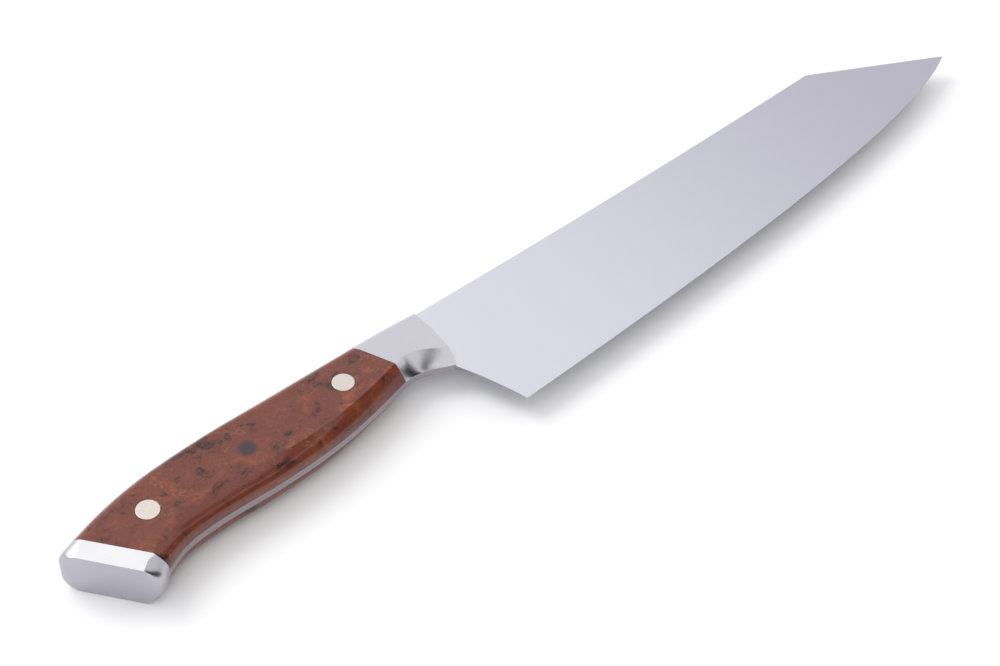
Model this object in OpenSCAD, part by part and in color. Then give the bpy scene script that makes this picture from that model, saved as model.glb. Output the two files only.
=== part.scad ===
// Kiritsuke kitchen knife with a full tang, a bolster and an end cap, lying on its left side.
// Drawn with the heel at x = 0, y = 0 and the middle of the steel at z = 0: +X runs to the
// point, +Y to the back (spine) and +Z to the right face. The last transform then puts the
// origin at the middle of the knife's plan, on the surface that it lies on.

/* [Blade] */
// Heel to point, along the back
blade_len = 240; // [200:1:270]
// Heel to back
blade_h = 46.5; // [44:0.5:54]
// Thickness of the steel at the bolster and along the whole tang
blade_t = 2.5; // [1.8:0.1:3.4]
// Thickness that the back tapers to, if it ran straight on to the point
taper_t = 1.3; // [0.8:0.1:1.7]
// Thickness just behind the cutting bevel
edge_t = 0.35; // [0.2:0.05:0.6]
// Height of the cutting bevel
bevel_h = 0.8; // [0.4:0.1:1.5]
// Length of the slanted clip between the back's shoulder and the point
clip_len = 51; // [30:1:70]
// Height of the point above the heel
point_h = 21.4; // [12:0.2:28]
// Dip of the back between the bolster and the shoulder
back_dip = 0.9; // [0:0.1:2]
// Reach of the nearly flat part of the edge, from the heel
flat_reach = 60; // [40:1:80]
// Rise of the edge at the end of that reach
flat_rise = 0.75; // [0:0.05:2]
// Reach of the curved part of the edge, back from the point
sweep_reach = 42; // [25:1:60]
// Height at which that curve starts to lift
sweep_rise = 2.6; // [1:0.1:5]
// How far the choil leans back from the heel at its top
choil_back = 8; // [5:0.5:8.5]
// Bulge of the choil's curve
choil_bulge = 0.65; // [0:0.05:1.5]

/* [Bolster] */
// Gap between the heel line and the bolster's front edge
bolster_front = 4.5; // [3.5:0.5:6]
// Bolster's length at the middle of the handle
bolster_len = 23.1; // [18:0.1:30]
// Half thickness of the bolster at its front edge
nose_half_t = 3.1; // [2.4:0.1:4]
// Distance below the back at which the front edge starts to sweep round
nose_drop = 13.5; // [8:0.5:16]
// Radius of that sweep
nose_r = 16.7; // [12:0.1:24]
// Depth of the bolster from the back line to the belly at its front
choil_depth = 23.9; // [22:0.1:26]
// Width of the bolster's belly facet at the middle
bolster_facet = 7; // [5:0.1:8]
// Fullness of that facet at the front edge, where 1 is flat and less is hollow
nose_full = 0.6; // [0.5:0.05:2]
// Slant of the joint between the bolster and the scales
bolster_slant = 21.6; // [10:0.1:28]

/* [Handle] */
// Thickness across the two flats
handle_t = 15; // [13:0.5:19]
// Scale length between the two joints, at the middle of the handle
scale_len = 97.5; // [85:0.5:115]
// Length of the end cap at its back, square to its joint
cap_len = 6; // [5.8:0.1:9]
// The same length at its belly
cap_len_belly = 6.2; // [5.8:0.1:10]
// Slant of the joint between the scales and the end cap
cap_slant = 36.3; // [26:0.1:42]
// Depth from the back line to the belly at the bolster joint
neck_depth = 19; // [18:0.1:21]
// Depth at the middle of the grip
grip_depth = 25.3; // [23.5:0.1:28]
// Depth at the palm swell
palm_depth = 24.5; // [23:0.1:27]
// Depth at the end cap joint, where the belly hooks down
hook_depth = 28.9; // [27:0.1:31]
// How far the handle's back lies below the blade's back at the bolster joint
back_step = 0.8; // [0:0.1:1.5]
// How far the handle's back curves down at the end cap joint
back_drop = 7; // [4:0.1:9]
// Rounding between the flat and the back, at the bolster joint
back_round_front = 3.8; // [1.5:0.1:4.5]
// The same rounding at the bolster's front edge
nose_round = 1.4; // [0.6:0.1:1.6]
// The same rounding along the grip
back_round = 3.4; // [1.5:0.1:4.5]
// The same rounding at the butt
back_round_butt = 5.2; // [2:0.1:5.6]
// Width of the belly facet at the bolster joint
facet_front = 3.8; // [2.5:0.1:5]
// Width of the belly facet at the middle of the grip
facet_grip = 5; // [3:0.1:6.5]
// Width of the belly facet at the palm swell
facet_palm = 7; // [4:0.1:8]
// Width of the belly facet at the end cap joint
facet_cap = 4.2; // [3.5:0.1:6]
// Fullness of the belly facet at its ends, where 1 is flat
full_ends = 1.2; // [1:0.05:2]
// Fullness of the belly facet at the palm
full_palm = 3.8; // [2:0.1:4.5]
// Spread of the end cap towards the butt on the back side, seen from above
cap_spread_back = 2.4; // [0:0.1:3]
// The same spread on the belly side
cap_spread_belly = 0.5; // [0:0.1:2.5]
// Reach of the rounding at the butt's back corner, seen from above
butt_round_back = 2.6; // [1:0.1:4.5]
// Reach of the rounding at the butt's belly corner
butt_round_belly = 3.6; // [1:0.1:4.2]

/* [Rivets and dowels] */
// Diameter of the rivet heads
rivet_head_d = 6.8; // [6:0.1:8]
// Thickness of the rivet heads
rivet_head_t = 2.2; // [1.4:0.1:3]
// Outer diameter of the rivet barrels
barrel_d = 4.6; // [4.2:0.1:5.4]
// Diameter of the rivet studs
stud_d = 3; // [2:0.1:3.4]
// Distance of the front rivet from the bolster joint
rivet_from_bolster = 14.3; // [10:0.1:25]
// Distance of the rear rivet from the end cap joint
rivet_from_cap = 13.8; // [10:0.1:25]
// Diameter of the hidden bolster dowels
dowel_d = 2.5; // [2:0.1:3]
// Length of the hidden bolster dowels
dowel_len = 6; // [4.5:0.1:7]
// Distance between the two dowels
dowel_gap = 9; // [6:0.5:11]
// Distance of the dowels from the bolster's back
dowel_from_back = 9; // [6:0.5:11]
// Width of the tang's tongue inside the end cap
tongue_w = 14; // [8:0.5:15]
// Length of that tongue
tongue_len = 4; // [2:0.1:4.2]
// Clearance round rivets, dowels and the tongue
fit_gap = 0.05; // [0.02:0.01:0.1]

/* [Hidden] */
$fn = 48;
blade_steps = 24;      // stations along the back before the shoulder
clip_steps = 12;       // stations along the clip
grip_steps = 26;       // stations along the scales
bolster_steps = 12;    // stations along the bolster
round_steps = 5;       // chords of the rounding at the back
facet_steps = 8;       // chords of the belly facet
choil_steps = 10;      // chords of the choil
corner_steps = 5;      // chords of a rounded corner of the butt
sweep_chord = 5;       // degrees between two points of the bolster's sweep
edge_land = 0.06;      // width of the cutting edge itself
point_land = 0.15;     // height of the point's very end
overrun = 2;           // how far a cutting shape runs past what it cuts
lap = 0.6;             // how far the choil's curve runs up under the bolster
nose_past = 1;         // how far the bolster's sections run past its front edge at the back
stud_stop = 1;         // room between a stud's end and its barrel's head
half_t = handle_t / 2;
skin = blade_t / 2;    // where the steel's face meets the scales and bolsters
shoulder_x = blade_len - clip_len;
nose_x = -bolster_front;
choil_h = blade_h - choil_depth + lap;
joint_x = nose_x - bolster_len;
cap_x = joint_x - scale_len;
mid_depth = 10;        // depth below the back at which the handle's lengths are taken
cap_mid_depth = 18;    // the same at the end cap, where the handle hooks down

function lerp(a, b, t) = a + (b - a) * t;
function steps(n) = [for (i = [0 : n]) i / n];
function reverse(list) = [for (i = [len(list) - 1 : -1 : 0]) list[i]];
function unit(v) = v / norm(v);

// Smooth curve through knots [place, value]
function rise(k, i) = (k[i + 1][1] - k[i][1]) / (k[i + 1][0] - k[i][0]);
function slope(k, i) =
    i == 0 ? rise(k, 0) : i == len(k) - 1 ? rise(k, i - 1) : (rise(k, i - 1) + rise(k, i)) / 2;
function span(k, u) = max([0, for (i = [0 : len(k) - 2]) if (u >= k[i][0]) i]);
function curve(k, u) =
    let (i = span(k, u), run = k[i + 1][0] - k[i][0], t = (u - k[i][0]) / run)
    (2 * t ^ 3 - 3 * t ^ 2 + 1) * k[i][1] + (t ^ 3 - 2 * t ^ 2 + t) * run * slope(k, i)
    + (3 * t ^ 2 - 2 * t ^ 3) * k[i + 1][1] + (t ^ 3 - t ^ 2) * run * slope(k, i + 1);

// Blade outline
edge_curve = [[0, 0], [flat_reach, flat_rise], [blade_len - sweep_reach, sweep_rise],
    [blade_len, point_h]];
function edge_at(t) = (1 - t) ^ 3 * edge_curve[0] + 3 * (1 - t) ^ 2 * t * edge_curve[1]
    + 3 * (1 - t) * t ^ 2 * edge_curve[2] + t ^ 3 * edge_curve[3];
function back_y(x) =
    x <= 0 ? blade_h
    : x < shoulder_x ? blade_h - back_dip * (1 - (2 * x / shoulder_x - 1) ^ 2)
    : lerp(blade_h, point_h, (x - shoulder_x) / clip_len);
// Share of the edge curve that lies behind x, found by halving
function edge_share(x, low = 0, high = 1, turns = 24) =
    let (t = (low + high) / 2)
    turns == 0 ? t
    : edge_at(t)[0] < x ? edge_share(x, t, high, turns - 1) : edge_share(x, low, t, turns - 1);
function edge_y(x) = x <= 0 ? x * flat_rise / flat_reach : edge_at(edge_share(x))[1];
function full_t(x) = lerp(blade_t, taper_t, max(0, x) / blade_len);
choil = [for (t = steps(choil_steps))
    [-choil_back * t + choil_bulge * 4 * t * (1 - t), choil_h * t]];

// Handle outline: one point on the back and one on the belly for each place along the scales
function on_joint(x, middle, slant, depth) = [x + (depth - middle) * tan(slant), blade_h - depth];
joint_back = on_joint(joint_x, mid_depth, bolster_slant, back_step);
joint_belly = on_joint(joint_x, mid_depth, bolster_slant, neck_depth);
cap_back = on_joint(cap_x, cap_mid_depth, cap_slant, back_drop);
cap_belly = on_joint(cap_x, cap_mid_depth, cap_slant, hook_depth);
back_knots = [[0, -back_step], [0.3, -back_step / 2], [0.56, -back_step / 8],
    [0.77, -back_drop / 5], [0.91, -back_drop * 0.6], [1, -back_drop]];
belly_knots = [[0, neck_depth], [0.15, lerp(neck_depth, grip_depth, 0.5)],
    [0.33, lerp(neck_depth, grip_depth, 0.9)], [0.55, grip_depth], [0.79, palm_depth],
    [0.92, lerp(palm_depth, hook_depth, 0.27)], [1, hook_depth]];
facet_knots = [[0, facet_front], [0.15, facet_front], [0.46, facet_grip],
    [0.62, lerp(facet_grip, facet_palm, 0.8)], [0.77, facet_palm], [0.9, lerp(facet_palm, facet_cap, 0.45)], [1, facet_cap]];
full_knots = [[0, full_ends], [0.15, full_ends + 0.3], [0.45, lerp(full_ends, full_palm, 0.65)],
    [0.65, full_palm], [0.85, full_palm - 0.3], [1, full_ends + 0.8]];
round_knots = [[0, back_round_front], [0.5, back_round], [1, back_round * 1.06]];

// A section is [back point, belly point, half thickness, width and height of the back
// rounding, belly facet width, facet fullness]
function grip_section(u) = [
    [lerp(joint_back[0], cap_back[0], u), blade_h + curve(back_knots, u)],
    [lerp(joint_belly[0], cap_belly[0], u), blade_h - curve(belly_knots, u)],
    half_t, curve(round_knots, u), curve(round_knots, u), curve(facet_knots, u),
    curve(full_knots, u)];

// Bolster: from the scale joint at v = 0 to just past its front edge at v = 1
nose_depth_knots = [[0, neck_depth], [0.23, neck_depth], [0.46, lerp(neck_depth, choil_depth, 0.18)],
    [0.69, lerp(neck_depth, choil_depth, 0.53)], [0.86, lerp(neck_depth, choil_depth, 0.84)],
    [1, choil_depth]];
nose_facet_knots = [[0, facet_front], [0.3, lerp(facet_front, bolster_facet, 0.75)],
    [0.65, bolster_facet], [1, bolster_facet * 0.94]];
function bolster_section(v) = [
    [lerp(joint_back[0], nose_x + nose_past, v), blade_h - back_step * (1 - v)],
    [lerp(joint_belly[0], nose_x - 2 * nose_past, v), blade_h - curve(nose_depth_knots, v)],
    lerp(half_t, nose_half_t, v ^ 1.3), lerp(back_round_front, nose_round, v),
    lerp(back_round_front, nose_round, v), curve(nose_facet_knots, v),
    lerp(full_ends, nose_full, v)];

// End cap: its joint, its butt and the two unrounded corners of the butt
cap_along = unit(cap_belly - cap_back);
cap_out = [cap_along[1], -cap_along[0]];
cap_flat_from = curve(round_knots, 1);
butt_back = cap_back + cap_out * cap_len - cap_along * cap_spread_back;
butt_belly = cap_belly + cap_out * cap_len_belly + cap_along * cap_spread_belly;
// Rounded corner: points from one side to the other, tangent to both
function corner_curve(corner, a, b, reach) =
    let (start = corner + unit(a - corner) * reach, end = corner + unit(b - corner) * reach)
    [for (t = steps(corner_steps))
        (1 - t) ^ 2 * start + 2 * t * (1 - t) * corner + t ^ 2 * end];
butt_curve_back = corner_curve(butt_back, cap_back, butt_belly, butt_round_back);
butt_curve_belly = corner_curve(butt_belly, cap_belly, butt_back, butt_round_belly);
// Sections through the rounded corners; the flat keeps its straight borders beside them
butt_sections = [for (i = [0 : corner_steps])
    let (back = butt_curve_back[i], belly = butt_curve_belly[i],
        in_back = (back - cap_back) * cap_along, in_belly = (cap_belly - belly) * cap_along)
    [back, belly, half_t, cap_flat_from - in_back,
        lerp(curve(round_knots, 1), back_round_butt, (i + 1) / (corner_steps + 1)),
        facet_cap * 1.1 - in_belly, curve(full_knots, 1)]];

// The upper half of a section, from the back to the belly, on the steel's face and above it
function half_profile(s) =
    let (along = unit(s[1] - s[0]), wide = norm(s[1] - s[0]))
    [for (p = concat([[0, skin]],
        [for (i = [0 : round_steps]) let (a = 90 * i / round_steps)
            [s[3] * (1 - cos(a)), s[2] - s[4] + s[4] * sin(a)]],
        [for (i = [0 : facet_steps]) let (q = 1 - i / facet_steps)
            [wide - s[5] * q ^ s[6], lerp(skin, s[2], q)]]))
        let (at = s[0] + along * p[0]) [at[0], at[1], p[1]]];
// Both halves in one ring, without the points in the middle of the back's straight wall
function whole_profile(s) =
    let (half = half_profile(s), upper = [for (i = [1 : len(half) - 1]) half[i]])
    concat(upper, [for (p = reverse(upper)) [p[0], p[1], -p[2]]]);

// Solid through a row of rings that all have the same number of points
module loft(rings) {
    n = len(rings[0]);
    rows = len(rings);
    sides = [for (i = [0 : rows - 2], j = [0 : n - 1], k = [0, 1])
        let (a = i * n + j, b = i * n + (j + 1) % n)
        k == 0 ? [a, b, b + n] : [a, b + n, a + n]];
    first = [[for (j = [n - 1 : -1 : 0]) j]];
    last = [[for (j = [0 : n - 1]) (rows - 1) * n + j]];
    polyhedron(points = [for (r = rings) each r], faces = concat(first, last, sides));
}

// Plan of everything behind the bolster's front edge
module behind_nose() {
    turn = [nose_x - nose_r, blade_h - nose_drop];
    polygon(concat([[nose_x, blade_h + overrun], [cap_x, blade_h + overrun]],
        [[cap_x, turn[1] - nose_r]],
        [for (a = [-75 : sweep_chord : 0]) turn + nose_r * [cos(a), sin(a)]]));
}

// Plan of the full tang with its tongue for the end cap
module tang_plan() {
    grip = [for (u = steps(grip_steps)) grip_section(u)];
    nose = [for (v = steps(bolster_steps)) if (v > 0) bolster_section(v)];
    middle = (cap_back + cap_belly) / 2;
    union() {
        polygon(concat([for (s = reverse(grip)) s[0]], [for (s = nose) s[0]],
            [for (s = reverse(nose)) s[1]], [for (s = grip) s[1]]));
        polygon([for (c = [[-1, -1], [1, -1], [1, 1], [-1, 1]])
            middle + cap_along * c[0] * tongue_w / 2
            + cap_out * (c[1] > 0 ? tongue_len : -overrun)]);
    }
}

// The steel's faces: flat from the back down to the bevel, which ends in the cutting edge
module ground_blade() {
    heel_x = -choil_back - overrun;
    places = concat([heel_x], [for (t = steps(blade_steps)) lerp(0, shoulder_x, t)],
        [for (t = steps(clip_steps)) if (t > 0) lerp(shoulder_x, blade_len, t)]);
    loft([for (x = places)
        let (top = back_y(x), low = min(edge_y(x), top - point_land), tall = top - low,
            thick = lerp(edge_t, full_t(x), tall / (blade_h - low)),
            bevel = low + min(bevel_h, tall * 0.4))
        [[x, top, -thick / 2], [x, bevel, -edge_t / 2], [x, low, -edge_land / 2],
            [x, low, edge_land / 2], [x, bevel, edge_t / 2], [x, top, thick / 2]]]);
}

module rivet_place(u) {
    s = grip_section(u);
    along = unit(s[1] - s[0]);
    at = s[0] + along * (s[3] + norm(s[1] - s[0]) - s[5]) / 2;
    translate([at[0], at[1], 0]) children();
}
module front_rivet_place() rivet_place(rivet_from_bolster / scale_len) children();
module rear_rivet_place() rivet_place(1 - rivet_from_cap / scale_len) children();
module each_rivet() {
    front_rivet_place() children();
    rear_rivet_place() children();
}
module dowel_place(end) {
    middle = lerp(joint_x, nose_x, 0.37);
    translate([middle + end * dowel_gap / 2, blade_h - dowel_from_back, 0]) children();
}
module each_dowel() {
    for (end = [-1, 1]) dowel_place(end) children();
}
module rod(d, low, high) translate([0, 0, low]) cylinder(d = d, h = high - low);

module blade() {
    color("lightsteelblue")
    difference() {
        union() {
            difference() {
                ground_blade();
                linear_extrude(handle_t, center = true) behind_nose();
                linear_extrude(handle_t, center = true)
                    polygon(concat([[0, -overrun]], choil,
                        [[-choil_back - 2 * overrun, choil_h],
                        [-choil_back - 2 * overrun, -overrun]]));
            }
            linear_extrude(blade_t, center = true)
                intersection() {
                    tang_plan();
                    union() {
                        behind_nose();
                        translate([cap_x * 2, -blade_h])
                            square([-cap_x * 2 + joint_x, blade_h * 3]);
                    }
                }
        }
        each_rivet() rod(barrel_d + 2 * fit_gap, -handle_t, handle_t);
        each_dowel() rod(dowel_d + 2 * fit_gap, -handle_t, handle_t);
    }
}

module bolster_half() {
    difference() {
        intersection() {
            loft([for (v = steps(bolster_steps)) half_profile(bolster_section(v))]);
            linear_extrude(handle_t) behind_nose();
        }
        each_dowel() rod(dowel_d + 2 * fit_gap, 0, dowel_len / 2 + fit_gap);
    }
}
module bolster_right() color("silver") bolster_half();
module bolster_left() color("silver") mirror([0, 0, 1]) bolster_half();

module scale_half() {
    difference() {
        loft([for (u = reverse(steps(grip_steps))) half_profile(grip_section(u))]);
        each_rivet() {
            rod(barrel_d + 2 * fit_gap, 0, handle_t);
            rod(rivet_head_d + 2 * fit_gap, half_t - rivet_head_t, handle_t);
        }
    }
}
module scale_right() color("saddlebrown") scale_half();
module scale_left() color("saddlebrown") mirror([0, 0, 1]) scale_half();

module end_cap() {
    middle = (cap_back + cap_belly) / 2;
    color("silver")
    difference() {
        loft([for (s = concat(reverse(butt_sections), [grip_section(1)])) whole_profile(s)]);
        linear_extrude(blade_t + 2 * fit_gap, center = true)
            polygon([for (c = [[-1, -1], [1, -1], [1, 1], [-1, 1]])
                middle + cap_along * c[0] * (tongue_w / 2 + fit_gap)
                + cap_out * (c[1] > 0 ? tongue_len + fit_gap : -overrun)]);
    }
}

module bolster_dowel(end) color("gray") dowel_place(end) rod(dowel_d, -dowel_len / 2, dowel_len / 2);

// Cutlery rivet in two parts: the barrel comes from the left side, the stud from the right
module rivet_stud() {
    color("gainsboro") {
        rod(rivet_head_d, half_t - rivet_head_t, half_t);
        rod(stud_d - 2 * fit_gap, rivet_head_t + stud_stop - half_t, half_t - rivet_head_t / 2);
    }
}
module rivet_barrel() {
    color("gainsboro")
    difference() {
        union() {
            rod(rivet_head_d, -half_t, rivet_head_t - half_t);
            rod(barrel_d, -half_t, half_t - rivet_head_t - fit_gap);
        }
        rod(stud_d, rivet_head_t + stud_stop - fit_gap - half_t, half_t);
    }
}

// Put the origin under the middle of the plan
butt_x = min([for (p = concat(butt_curve_back, butt_curve_belly)) p[0]]);
module seated() translate([-(blade_len + butt_x) / 2, -blade_h / 2, half_t]) children();

seated() blade();
seated() bolster_right();
seated() bolster_left();
seated() scale_right();
seated() scale_left();
seated() end_cap();
seated() bolster_dowel(1);  // bolster_dowel_front
seated() bolster_dowel(-1);  // bolster_dowel_rear
seated() front_rivet_place() rivet_stud();  // rivet_front_stud
seated() front_rivet_place() rivet_barrel();  // rivet_front_barrel
seated() rear_rivet_place() rivet_stud();  // rivet_rear_stud
seated() rear_rivet_place() rivet_barrel();  // rivet_rear_barrel
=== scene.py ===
import math

import bmesh
import bpy
from mathutils import Matrix, Vector


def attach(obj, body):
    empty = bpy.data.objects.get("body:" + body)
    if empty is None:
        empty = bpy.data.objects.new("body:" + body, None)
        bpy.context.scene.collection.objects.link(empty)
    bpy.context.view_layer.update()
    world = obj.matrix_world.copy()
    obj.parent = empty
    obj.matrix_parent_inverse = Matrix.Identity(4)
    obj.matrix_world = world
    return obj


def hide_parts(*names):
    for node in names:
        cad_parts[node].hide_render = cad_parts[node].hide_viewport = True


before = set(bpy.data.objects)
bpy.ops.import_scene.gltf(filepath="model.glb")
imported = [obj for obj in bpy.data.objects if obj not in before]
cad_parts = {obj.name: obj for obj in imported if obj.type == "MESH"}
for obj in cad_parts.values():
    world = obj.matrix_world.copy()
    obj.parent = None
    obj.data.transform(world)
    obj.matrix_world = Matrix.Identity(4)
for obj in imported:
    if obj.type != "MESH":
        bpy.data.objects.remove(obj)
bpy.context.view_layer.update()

# Lengths are in metres. The knife lies on its left side: +X is the point, +Y the back.
mm = 0.001
mergeDistance = 0.002 * mm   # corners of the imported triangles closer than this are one
flatTurn = 0.3               # degrees between triangles that are rejoined to one face
levelNormal = 0.9999         # a face whose normal has at least this much Z is flat
normalWeight = 100           # how strongly wide faces lead the weighted normals


def linearColor(code):
    # sRGB hex code to the linear values that the shaders read
    parts = [int(code[i:i + 2], 16) / 255 for i in (1, 3, 5)]
    return [p / 12.92 if p <= 0.04045 else ((p + 0.055) / 1.055) ** 2.4 for p in parts] + [1.0]


def newMaterial(name):
    material = bpy.data.materials.new(name)
    material.use_nodes = True
    material.node_tree.nodes.clear()
    return material


def addNode(material, kind, settings=None, inputs=None):
    # One node with its settings; an input is a value or another node's output
    node = material.node_tree.nodes.new(kind)
    for key, value in (settings or {}).items():
        setattr(node, key, value)
    for key, value in (inputs or {}).items():
        if isinstance(value, bpy.types.NodeSocket):
            material.node_tree.links.new(value, node.inputs[key])
        else:
            node.inputs[key].default_value = value
    return node


def addRamp(material, factor, stops):
    # Stops are places with a hex colour or a grey value
    ramp = addNode(material, "ShaderNodeValToRGB", {}, {"Fac": factor})
    while len(ramp.color_ramp.elements) < len(stops):
        ramp.color_ramp.elements.new(1.0)
    for element, (place, code) in zip(ramp.color_ramp.elements, stops):
        element.position = place
        element.color = linearColor(code) if isinstance(code, str) else [code, code, code, 1]
    return ramp.outputs["Color"]


def objectPoint(material, rotation=(0, 0, 0), scale=(1, 1, 1)):
    coordinates = addNode(material, "ShaderNodeTexCoord")
    mapping = addNode(material, "ShaderNodeMapping", {}, {
        "Vector": coordinates.outputs["Object"], "Rotation": rotation, "Scale": scale})
    return mapping.outputs["Vector"]


def addNoise(material, vector, scale, detail, roughness=0.5):
    return addNode(material, "ShaderNodeTexNoise", {}, {
        "Vector": vector, "Scale": scale, "Detail": detail, "Roughness": roughness})


def finishMaterial(material, shader):
    output = addNode(material, "ShaderNodeOutputMaterial")
    material.node_tree.links.new(shader.outputs[0], output.inputs["Surface"])
    return material


def mixColors(material, factor, first, second, blend="MIX"):
    # Colours of the RGBA form sit at sockets 6 and 7, and its result at output 2
    node = addNode(material, "ShaderNodeMix", {"data_type": "RGBA", "blend_type": blend}, {
        0: factor, 6: first, 7: second})
    return node.outputs[2]


def facingShadeMask(material, low, high):
    # Mask for painted shade: 0 on walls and 1 on level faces, from the surface's own direction
    geometry = addNode(material, "ShaderNodeNewGeometry")
    parts = addNode(material, "ShaderNodeSeparateXYZ", {}, {"Vector": geometry.outputs["Normal"]})
    level = addNode(material, "ShaderNodeMath", {"operation": "ABSOLUTE"}, {
        0: parts.outputs["Z"]})
    share = addNode(material, "ShaderNodeMapRange", {"interpolation_type": "SMOOTHSTEP"}, {
        "Value": level.outputs[0], "From Min": low, "From Max": high})
    return share.outputs["Result"]


def selectOnly(piece):
    bpy.ops.object.select_all(action="DESELECT")
    piece.select_set(True)
    bpy.context.view_layer.objects.active = piece


def copyOf(node, name):
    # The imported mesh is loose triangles, so the copy is merged and its flat faces rejoined
    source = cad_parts[node]
    piece = bpy.data.objects.new(name, source.data.copy())
    bpy.context.scene.collection.objects.link(piece)
    piece.data.materials.clear()
    selectOnly(piece)
    bpy.ops.object.mode_set(mode="EDIT")
    bpy.ops.mesh.select_all(action="SELECT")
    bpy.ops.mesh.remove_doubles(threshold=mergeDistance)
    bpy.ops.mesh.dissolve_limited(angle_limit=math.radians(flatTurn))
    bpy.ops.mesh.normals_make_consistent(inside=False)
    bpy.ops.object.mode_set(mode="OBJECT")
    return piece


def bevelEdges(piece, width, segments, angle):
    # Rounds the edges that turn by more than the angle, in degrees
    selectOnly(piece)
    bevel = piece.modifiers.new("edges", "BEVEL")
    bevel.width = width
    bevel.segments = segments
    bevel.limit_method = "ANGLE"
    bevel.angle_limit = math.radians(angle)
    bevel.use_clamp_overlap = True
    bpy.ops.object.modifier_apply(modifier=bevel.name)


def markFlatBorders(piece, height):
    # Creases where a flat face meets a ground facet below the given height in Y
    mesh = bmesh.new()
    mesh.from_mesh(piece.data)
    for edge in mesh.edges:
        if len(edge.link_faces) != 2:
            continue
        flat = [abs(face.normal.z) > levelNormal for face in edge.link_faces]
        middle = (edge.verts[0].co + edge.verts[1].co) / 2
        if flat[0] != flat[1] and middle.y < height:
            edge.smooth = False
    mesh.to_mesh(piece.data)
    mesh.free()


def finishPiece(piece, material, nodes, smooth, creaseBelow=None):
    # Weighted normals keep wide flat faces flat beside their rounded borders
    selectOnly(piece)
    bpy.ops.object.shade_smooth_by_angle(angle=math.radians(smooth))
    if creaseBelow is not None:
        markFlatBorders(piece, creaseBelow)
    normals = piece.modifiers.new("normals", "WEIGHTED_NORMAL")
    normals.keep_sharp = True
    normals.weight = normalWeight
    bpy.ops.object.modifier_apply(modifier=normals.name)
    piece.data.materials.clear()
    piece.data.materials.append(material)
    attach(piece, "root")
    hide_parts(*nodes)


# Blade
bladeLook = {
    "edgeRound": 0.12 * mm,      # wear on the back's and choil's corners
    "edgeSegments": 2,
    "edgeAngle": 50,             # degrees
    "smoothAngle": 12,           # degrees
    # Painted shade: the level faces darken from the heel colour to the tip colour along the blade
    "heelLitColor": "#d5d6df",
    "tipShadedColor": "#b5b3c0",
    "wallShadeColor": "#a39ca4",      # painted shade on the walls of the tang and choil
    "wallShadeShare": (0.3, 0.8),     # painted shade fades out from wall to level face
    "roughness": 0.34,
    "roughnessSwing": 0.03,
    "cloudsPerMetre": 14.0,      # slow changes of the roughness
    "brushSpacing": 0.35 * mm,   # drawn coarser than real grinding lines, so that they show
    "brushPerMetre": 6,          # along the blade, where the lines run on
    "brushDepth": 0.004 * mm,
    "brushStrength": 0.35,
    # places along X where the painted shade from heel to tip starts and ends
    "tipShadeEnds": (-0.06, 0.19),
}


def makeBladeSteel():
    # Satin ground stainless steel in a soft grey-violet with faint lengthwise lines; its colour
    # carries painted shade, darker from heel to tip and on the walls
    look = bladeLook
    material = newMaterial("satin_stainless_steel")
    across = 1 / look["brushSpacing"] / 3
    lines = addNoise(material, objectPoint(material, scale=(look["brushPerMetre"], across, across)),
                     1.0, 3.0, 0.6)
    cloud = addNoise(material, objectPoint(material), look["cloudsPerMetre"], 2.0)
    along = addNode(material, "ShaderNodeSeparateXYZ", {}, {"Vector": objectPoint(material)})
    # Painted shade: the colour darkens from heel to tip along X
    tipShadeStart, tipShadeEnd = look["tipShadeEnds"]
    share = addNode(material, "ShaderNodeMapRange", {"interpolation_type": "SMOOTHSTEP"}, {
        "Value": along.outputs["X"], "From Min": tipShadeStart, "From Max": tipShadeEnd})
    face = mixColors(material, share.outputs["Result"], linearColor(look["heelLitColor"]),
                     linearColor(look["tipShadedColor"]))
    # Painted shade: the walls take the darker wall colour
    tone = mixColors(material, facingShadeMask(material, *look["wallShadeShare"]),
                     linearColor(look["wallShadeColor"]), face)
    mottle = addRamp(material, cloud.outputs["Fac"], [
        (0.3, look["roughness"] - look["roughnessSwing"]),
        (0.7, look["roughness"] + look["roughnessSwing"])])
    bump = addNode(material, "ShaderNodeBump", {}, {
        "Strength": look["brushStrength"], "Distance": look["brushDepth"],
        "Height": lines.outputs["Fac"]})
    shader = addNode(material, "ShaderNodeBsdfPrincipled", {}, {
        "Base Color": tone, "Metallic": 1.0, "Roughness": mottle,
        "Normal": bump.outputs["Normal"]})
    return finishMaterial(material, shader)


bladeSteel = makeBladeSteel()
blade = copyOf("blade", "blade_ground")
bevelEdges(blade, bladeLook["edgeRound"], bladeLook["edgeSegments"], bladeLook["edgeAngle"])
finishPiece(blade, bladeSteel, ["blade"], bladeLook["smoothAngle"])
print("blade done")


# Bolster and end cap
bolsterLook = {
    "edgeRound": 0.22 * mm,
    "edgeAngle": 55,             # degrees
    "smoothAngle": 35,           # degrees
    "color": "#cac8d1",
    # Painted shade: the bolster's walls get this greyer colour
    "wallShadeColor": "#b3b0ba",
    "wallShadeShare": (0.3, 0.9),     # painted shade fades out from wall to level face
    "capEdgeRound": 0.3 * mm,
    "capEdgeAngle": 50,          # degrees
    "capSmoothAngle": 30,        # degrees
    "capCreaseAt": 0,            # the cap's belly crease lies below this height in Y
    "capColor": "#e6e5e8",
    # Painted shade: the cap's walls and butt face get this greyer colour
    "capWallShadeColor": "#b8b6bf",
    "capWallShadeShare": (0.8, 0.995),
    "edgeSegments": 3,
    "roughness": 0.26,
    "smoother": 0.03,            # the roughness falls by this much at the haze's low end
    "rougher": 0.04,             # and rises by this much at its high end
    "hazePerMetre": 90.0,
    "grain": 0.6 * mm,           # waviness of the hand polish
    "grainDepth": 0.004 * mm,
    "grainStrength": 0.2,
}


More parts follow.
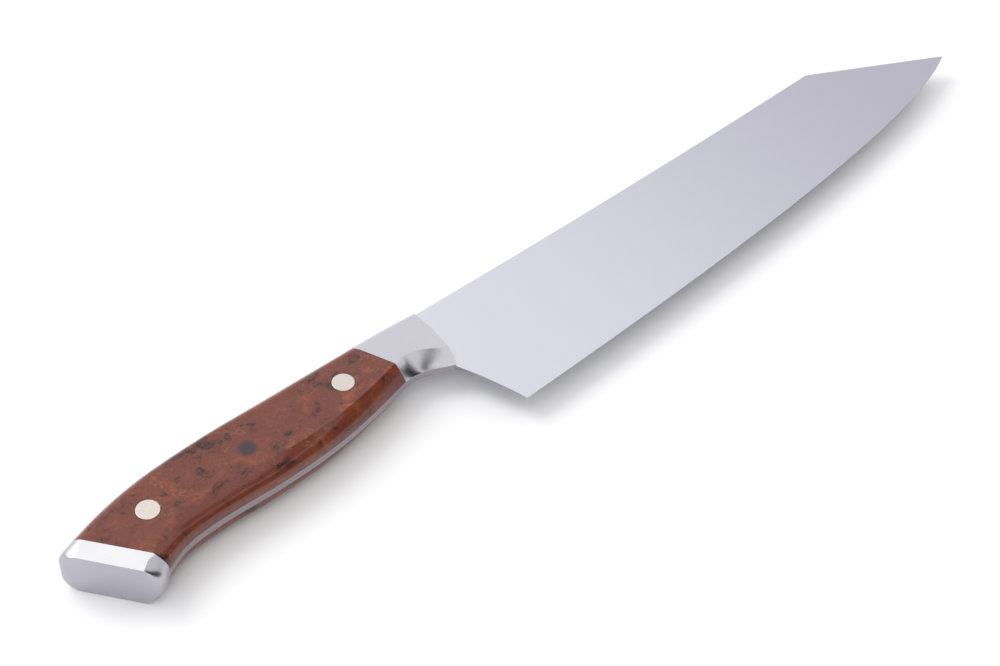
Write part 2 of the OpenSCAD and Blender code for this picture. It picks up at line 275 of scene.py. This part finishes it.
def makePolishedSteel(name, faceCode, wallShadeCode, wallShadeShare):
    # Polished stainless steel, bright on its level faces, with painted shade: its walls get a
    # greyer colour
    look = bolsterLook
    material = newMaterial(name)
    point = objectPoint(material)
    wave = addNoise(material, point, 1 / look["grain"] / 4, 2.0)
    haze = addNoise(material, point, look["hazePerMetre"], 3.0)
    rough = addRamp(material, haze.outputs["Fac"], [
        (0.35, look["roughness"] - look["smoother"]),
        (0.7, look["roughness"] + look["rougher"])])
    # Painted shade: walls take the greyer wall colour
    tone = mixColors(material, facingShadeMask(material, *wallShadeShare), linearColor(wallShadeCode),
                     linearColor(faceCode))
    bump = addNode(material, "ShaderNodeBump", {}, {
        "Strength": look["grainStrength"], "Distance": look["grainDepth"],
        "Height": wave.outputs["Fac"]})
    shader = addNode(material, "ShaderNodeBsdfPrincipled", {}, {
        "Base Color": tone, "Metallic": 1.0, "Roughness": rough,
        "Normal": bump.outputs["Normal"]})
    return finishMaterial(material, shader)


bolsterSteel = makePolishedSteel("polished_stainless_steel", bolsterLook["color"],
                                 bolsterLook["wallShadeColor"], bolsterLook["wallShadeShare"])
# The cap's steel carries painted shade on its walls and butt face
capSteel = makePolishedSteel("stainless_steel_wall_shade", bolsterLook["capColor"],
                             bolsterLook["capWallShadeColor"], bolsterLook["capWallShadeShare"])
for side in ("right", "left"):
    bolster = copyOf("bolster_" + side, "bolster_polished_" + side)
    bevelEdges(bolster, bolsterLook["edgeRound"], bolsterLook["edgeSegments"],
               bolsterLook["edgeAngle"])
    finishPiece(bolster, bolsterSteel, ["bolster_" + side],
                bolsterLook["smoothAngle"])
endCap = copyOf("end_cap", "end_cap_polished")
bevelEdges(endCap, bolsterLook["capEdgeRound"], bolsterLook["edgeSegments"],
           bolsterLook["capEdgeAngle"])
finishPiece(endCap, capSteel, ["end_cap"], bolsterLook["capSmoothAngle"],
            bolsterLook["capCreaseAt"])
print("bolster and end cap done")


# Scales
scaleLook = {
    "edgeRound": 0.15 * mm,
    "edgeSegments": 2,
    "edgeAngle": 60,             # degrees
    "smoothAngle": 25,           # degrees
    "creaseAt": 0.0115,          # the belly crease lies below this height, the rounding above
    "dark": "#2b120d",
    "ground": "#703527",
    "warm": "#7d3d27",
    "orange": "#94512c",
    "vein": "#a06b40",
    "knot": "#1c1e33",
    "knotPlace": (-0.1292, 0.0100, 0.0145),
    "knotRadius": 2.6 * mm,
    "knotShare": 0.85,
    "stretch": 0.75,             # patches are this much longer along the handle
    "stretchTurn": 8,            # degrees
    "drift": 8.0 * mm,           # how far the burl's swirls push the patches aside
    "swirl": 7.0 * mm,           # spacing of the burl's patches
    "fleck": 0.9 * mm,           # size of the fine mottling
    "fleckShare": 0.8,
    "fleckDepth": 0.02 * mm,
    "fleckStrength": 0.12,
    "roughness": 0.32,
    "specular": 0.25,
    "coat": 0.6,
    "coatRoughness": 0.12,
}


def makeBurlWood():
    # Stabilised burl, buffed: red-brown patches, thin tan veins and dark eyes under clear gloss
    look = scaleLook
    material = newMaterial("stabilised_burl_wood")
    patchScale = 1 / look["swirl"]
    stretched = objectPoint(material, rotation=(0, 0, math.radians(look["stretchTurn"])),
                            scale=(look["stretch"], 1, 1))
    drift = addNoise(material, stretched, patchScale, 3.0, 0.6)
    moved = addNode(material, "ShaderNodeVectorMath", {"operation": "MULTIPLY_ADD"}, {
        0: drift.outputs["Color"], 1: [look["drift"]] * 3, 2: stretched}).outputs[0]
    patches = addNoise(material, moved, patchScale * 1.3, 6.0, 0.68)
    ground = addRamp(material, patches.outputs["Fac"], [
        (0.34, look["dark"]), (0.44, look["ground"]), (0.52, look["ground"]),
        (0.6, look["warm"]), (0.74, look["orange"])])
    fine = addNoise(material, moved, 1 / look["fleck"], 4.0, 0.7)
    fineTone = addRamp(material, fine.outputs["Fac"], [(0.32, 0.7), (0.66, 1.0)])
    mottled = mixColors(material, look["fleckShare"], ground, fineTone, "MULTIPLY")
    lines = addNoise(material, moved, patchScale * 2.2, 3.0, 0.55)
    lineMask = addRamp(material, lines.outputs["Fac"], [(0.48, 0.0), (0.5, 0.6), (0.52, 0.0)])
    where = addNoise(material, moved, patchScale * 0.9, 4.0, 0.6)
    whereMask = addRamp(material, where.outputs["Fac"], [(0.5, 0.0), (0.62, 0.8)])
    veins = addNode(material, "ShaderNodeMath", {"operation": "MULTIPLY"}, {
        0: lineMask, 1: whereMask})
    veined = mixColors(material, veins.outputs[0], mottled, linearColor(look["vein"]))
    eyes = addNode(material, "ShaderNodeTexVoronoi", {"feature": "F1"}, {
        "Vector": moved, "Scale": patchScale * 1.1, "Randomness": 1.0})
    eyeMask = addRamp(material, eyes.outputs["Distance"], [(0.05, 0.8), (0.16, 0.0)])
    eyed = mixColors(material, eyeMask, veined, linearColor(look["dark"]))
    away = addNode(material, "ShaderNodeVectorMath", {"operation": "DISTANCE"}, {
        0: objectPoint(material), 1: look["knotPlace"]})
    nearKnot = addNode(material, "ShaderNodeMapRange", {"interpolation_type": "SMOOTHSTEP"}, {
        "Value": away.outputs["Value"], "From Min": look["knotRadius"] * 0.6,
        "From Max": look["knotRadius"] * 1.5, "To Min": look["knotShare"], "To Max": 0.0})
    knotted = mixColors(material, nearKnot.outputs["Result"], eyed, linearColor(look["knot"]))
    bump = addNode(material, "ShaderNodeBump", {}, {
        "Strength": look["fleckStrength"], "Distance": look["fleckDepth"],
        "Height": fine.outputs["Fac"]})
    shader = addNode(material, "ShaderNodeBsdfPrincipled", {}, {
        "Base Color": knotted, "Roughness": look["roughness"],
        "Specular IOR Level": look["specular"], "Coat Weight": look["coat"],
        "Coat Roughness": look["coatRoughness"], "Normal": bump.outputs["Normal"]})
    return finishMaterial(material, shader)


burlWood = makeBurlWood()
for side in ("right", "left"):
    scale = copyOf("scale_" + side, "scale_burl_" + side)
    bevelEdges(scale, scaleLook["edgeRound"], scaleLook["edgeSegments"], scaleLook["edgeAngle"])
    finishPiece(scale, burlWood, ["scale_" + side], scaleLook["smoothAngle"],
                scaleLook["creaseAt"])
print("scales done")


# Rivets and dowels
rivetLook = {
    "edgeRound": 0.1 * mm,
    "edgeSegments": 2,
    "edgeAngle": 60,             # degrees
    "smoothAngle": 35,           # degrees
    "color": "#d9d0c9",
    "roughness": 0.3,
    "dowelColor": "#b4b4b8",
    "dowelRoughness": 0.4,
    "roughnessSwing": 0.05,
    "scratchScale": (300, 3000, 3000),
}


def makePinMetal(name, code, roughness):
    # Sanded flush, with fine scratches: pale and warm nickel silver, or plain grey steel
    look = rivetLook
    material = newMaterial(name)
    scratches = addNoise(material, objectPoint(material, scale=look["scratchScale"]), 1.0, 2.0)
    rough = addRamp(material, scratches.outputs["Fac"], [
        (0.3, roughness - look["roughnessSwing"]), (0.7, roughness + look["roughnessSwing"])])
    shader = addNode(material, "ShaderNodeBsdfPrincipled", {}, {
        "Base Color": linearColor(code), "Metallic": 1.0, "Roughness": rough})
    return finishMaterial(material, shader)


def finishPin(node, name, material):
    pin = copyOf(node, name)
    bevelEdges(pin, rivetLook["edgeRound"], rivetLook["edgeSegments"], rivetLook["edgeAngle"])
    finishPiece(pin, material, [node], rivetLook["smoothAngle"])


rivetMetal = makePinMetal("nickel_silver", rivetLook["color"], rivetLook["roughness"])
dowelMetal = makePinMetal("plain_dowel_steel", rivetLook["dowelColor"],
                          rivetLook["dowelRoughness"])
for place in ("front", "rear"):
    for half in ("stud", "barrel"):
        node = "rivet_" + place + "_" + half
        finishPin(node, node + "_metal", rivetMetal)
    finishPin("bolster_dowel_" + place, "dowel_" + place + "_metal", dowelMetal)
print("rivets and dowels done")


# Studio
studio = {
    "floorSize": 6.0,
    "floorDrop": 0.2 * mm,
    "floor": "#f6f6f7",
    "world": "#ffffff",
    "worldStrength": 1.04,
    "keyPlace": (-0.5, 1.0, 1.2),
    "keySize": (0.8, 0.8),
    "keyPower": 9,               # watts
    # Dark cards: name, place, size, turn in degrees and colour
    "cards": [
        ("dark_card", (0.8, -0.9, 0.4), (1.7, 0.7), (90, 0, 0), "#232326"),
        ("dark_flag", (0.27, -0.5, 0.85), (0.26, 0.3), (40, 20, 0), "#1a1a1c"),
    ],
}


def plainMaterial(name, code):
    material = newMaterial(name)
    shader = addNode(material, "ShaderNodeBsdfDiffuse", {}, {"Color": linearColor(code)})
    return finishMaterial(material, shader)


def addFloor():
    bpy.ops.object.select_all(action="DESELECT")
    bpy.ops.mesh.primitive_plane_add(size=studio["floorSize"],
                                     location=(0, 0, -studio["floorDrop"]))
    floor = bpy.context.object
    floor.name = "studio_floor"
    floor.data.materials.append(plainMaterial("white_paper", studio["floor"]))


def addAreaLight(name, place, size, power):
    # A square lamp that points at the middle of the knife
    data = bpy.data.lights.new(name, "AREA")
    data.shape = "RECTANGLE"
    data.size, data.size_y = size
    data.energy = power
    light = bpy.data.objects.new(name, data)
    bpy.context.scene.collection.objects.link(light)
    light.location = place
    light.rotation_euler = (-Vector(place)).to_track_quat("-Z", "Y").to_euler()


def addWorld():
    world = bpy.data.worlds.new("studio_world")
    world.use_nodes = True
    background = world.node_tree.nodes["Background"]
    background.inputs["Color"].default_value = linearColor(studio["world"])
    background.inputs["Strength"].default_value = studio["worldStrength"]
    bpy.context.scene.world = world


def addCard(name, place, size, turn, code):
    # A dark card beside the table, out of view, that the polished facets mirror
    bpy.ops.object.select_all(action="DESELECT")
    bpy.ops.mesh.primitive_plane_add(size=1, location=place,
                                     rotation=[math.radians(a) for a in turn])
    card = bpy.context.object
    card.name = name
    card.scale = (size[0], size[1], 1)
    bpy.ops.object.transform_apply(location=True, rotation=True, scale=True)
    card.data.materials.append(plainMaterial(name + "_board", code))


# The photograph's camera, read from the shape of the two rivet heads
cameraLook = {
    "azimuth": -47.575,          # degrees, as are the next two
    "elevation": 46.122,
    "roll": 5.43,
    "distance": 0.515467,
    "target": (-0.043778, -0.003409, 0.0151),
    "lens": 61.2,
    "clipStart": 0.01,
}


def addCamera():
    look = cameraLook
    azimuth, elevation, roll = (math.radians(look[k]) for k in ("azimuth", "elevation", "roll"))
    back = Vector((math.sin(azimuth) * math.cos(elevation),
                   -math.cos(azimuth) * math.cos(elevation), math.sin(elevation)))
    right = Vector((math.cos(azimuth), math.sin(azimuth), 0))
    up = back.cross(right)
    turnedRight = right * math.cos(roll) + up * math.sin(roll)
    turnedUp = up * math.cos(roll) - right * math.sin(roll)
    data = bpy.data.cameras.new("photo_camera")
    data.lens = look["lens"]
    data.clip_start = look["clipStart"]
    camera = bpy.data.objects.new("photo_camera", data)
    bpy.context.scene.collection.objects.link(camera)
    place = Vector(look["target"]) + back * look["distance"]
    axes = Matrix((turnedRight, turnedUp, back)).transposed().to_4x4()
    camera.matrix_world = Matrix.Translation(place) @ axes
    bpy.context.scene.camera = camera


addFloor()
addWorld()
addAreaLight("soft_key", studio["keyPlace"], studio["keySize"], studio["keyPower"])
for card in studio["cards"]:
    addCard(*card)
addCamera()
bpy.context.scene.view_settings.view_transform = "Standard"
print("studio done")
